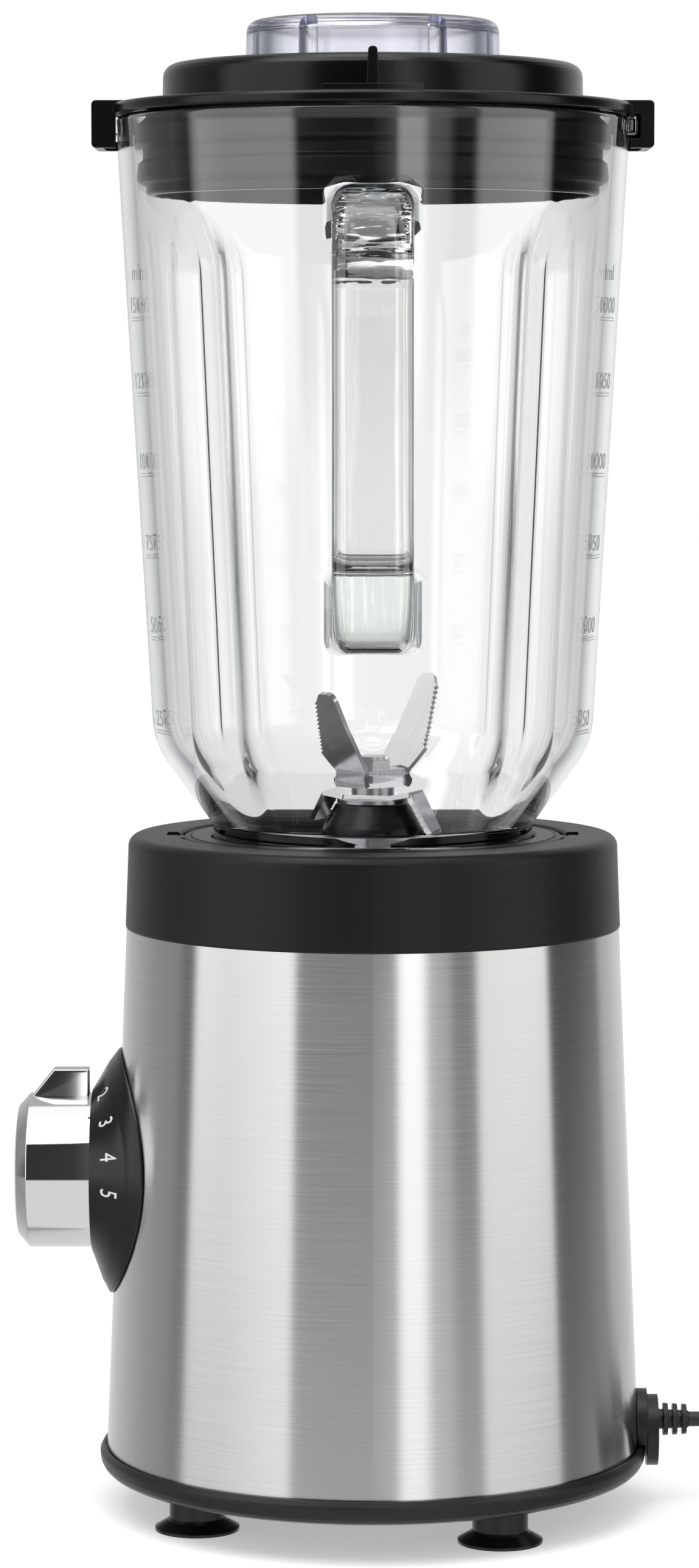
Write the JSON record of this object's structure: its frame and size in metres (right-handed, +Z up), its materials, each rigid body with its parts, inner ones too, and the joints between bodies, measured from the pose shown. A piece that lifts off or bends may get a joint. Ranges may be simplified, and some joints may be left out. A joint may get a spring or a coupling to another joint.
{
  "type": "countertop blender",
  "caption": "Countertop blender: glass jug with handle, lid and measuring cap, serrated blades, on a tapered steel motor base with a rotary speed knob, suction feet and mains cord.",
  "frame": {"origin": "on the axis of the jug, motor and blades, at the level of the surface that the suction feet stand on", "axes": "+Z up along the drive axis, -Y to the front with the dial, +Y to the rear with the cord, +X to the jug's handle"},
  "size_m": [0.2114, 0.2899, 0.4161],
  "materials": {
    "shell_steel": "horizontally brushed stainless steel",
    "housing_plastic": "as moulded",
    "black_plastic": "fine matt texture",
    "lid_plastic": "satin",
    "dial_black": "satin with white print",
    "switch_plastic": "as moulded",
    "board": "solder-masked laminate",
    "lamination_steel": "stacked steel laminations, varnished",
    "copper": "varnished copper wire",
    "bracket_aluminium": "die cast",
    "bearing_steel": "ground steel",
    "screw_steel": "zinc plated",
    "rubber": "smooth black rubber",
    "cord_jacket": "smooth jacket",
    "plug_plastic": "moulded on, satin",
    "plated_brass": "plated",
    "coupling_rubber": "hard rubber",
    "gasket_rubber": "soft dark grey rubber",
    "knob_chrome": "bright chrome plate",
    "jug_glass": "clear pressed glass",
    "blade_steel": "ground stainless steel",
    "clear_plastic": "clear moulded plastic"
  },
  "bodies": {
    "base": {"steel_shell": "shell_steel", "inner_housing": "housing_plastic", "base_tray": "black_plastic", "top_collar": "black_plastic", "foot_front_left": "rubber", "foot_front_right": "rubber", "foot_rear_left": "rubber", "foot_rear_right": "rubber", "tray_screws": "screw_steel", "dial_plate": "dial_black", "rotary_switch": "switch_plastic", "control_board": "board", "motor_stator": "lamination_steel", "field_coils": "copper", "upper_bracket": "bracket_aluminium", "lower_bracket": "bracket_aluminium", "upper_bearing": "bearing_steel", "lower_bearing": "bearing_steel", "brush_holders": "switch_plastic", "motor_bolts": "screw_steel", "shelf_screws": "screw_steel", "cord_guide": "black_plastic", "strain_relief": "rubber", "cord_clamp": "black_plastic", "inner_cord": "cord_jacket", "cord": "cord_jacket", "cord_coil": "cord_jacket", "cord_tail": "cord_jacket", "plug_body": "plug_plastic", "plug_pins": "plated_brass"},
    "rotor": {"motor_shaft": "bearing_steel", "armature_core": "lamination_steel", "armature_windings": "copper", "commutator": "plated_brass", "cooling_fan": "housing_plastic", "drive_coupling": "coupling_rubber"},
    "knob": {"knob": "knob_chrome", "knob_spindle": "screw_steel"},
    "jug": {"glass_jug": "jug_glass", "jug_ring": "black_plastic", "jug_gasket": "rubber", "blade_base": "black_plastic", "blade_plate": "blade_steel", "blade_bush": "plated_brass"},
    "blades": {"blade_shaft": "bearing_steel", "upper_blades": "blade_steel", "lower_blades": "blade_steel", "blade_washers": "blade_steel", "blade_nut": "blade_steel", "driven_dog": "coupling_rubber"},
    "lid": {"lid": "lid_plastic", "lid_gasket": "gasket_rubber"},
    "cap": {"measuring_cap": "clear_plastic"}
  },
  "joints": [
    {"name": "knob_turn", "type": "hinge", "parent": "base", "child": "knob", "pos_m": [0, -0.09, 0.0953], "axis": [0, 1, 0], "range_deg": [-30, 105]},
    {"name": "motor_spin", "type": "hinge", "parent": "base", "child": "rotor", "pos_m": [0, 0, 0.104], "axis": [0, 0, 1], "continuous": true},
    {"name": "jug_lift", "type": "slide", "parent": "base", "child": "jug", "axis": [0, 0, 1], "range_m": [0, 0.06]},
    {"name": "blade_spin", "type": "hinge", "parent": "jug", "child": "blades", "pos_m": [0, 0, 0.19], "axis": [0, 0, 1], "continuous": true},
    {"name": "lid_lift", "type": "slide", "parent": "jug", "child": "lid", "axis": [0, 0, 1], "range_m": [0, 0.05]},
    {"name": "cap_lift", "type": "slide", "parent": "lid", "child": "cap", "axis": [0, 0, 1], "range_m": [0, 0.04]}
  ],
  "couplings": [
    {"joint": "blade_spin", "follows": "motor_spin", "ratio": 1}
  ]
}
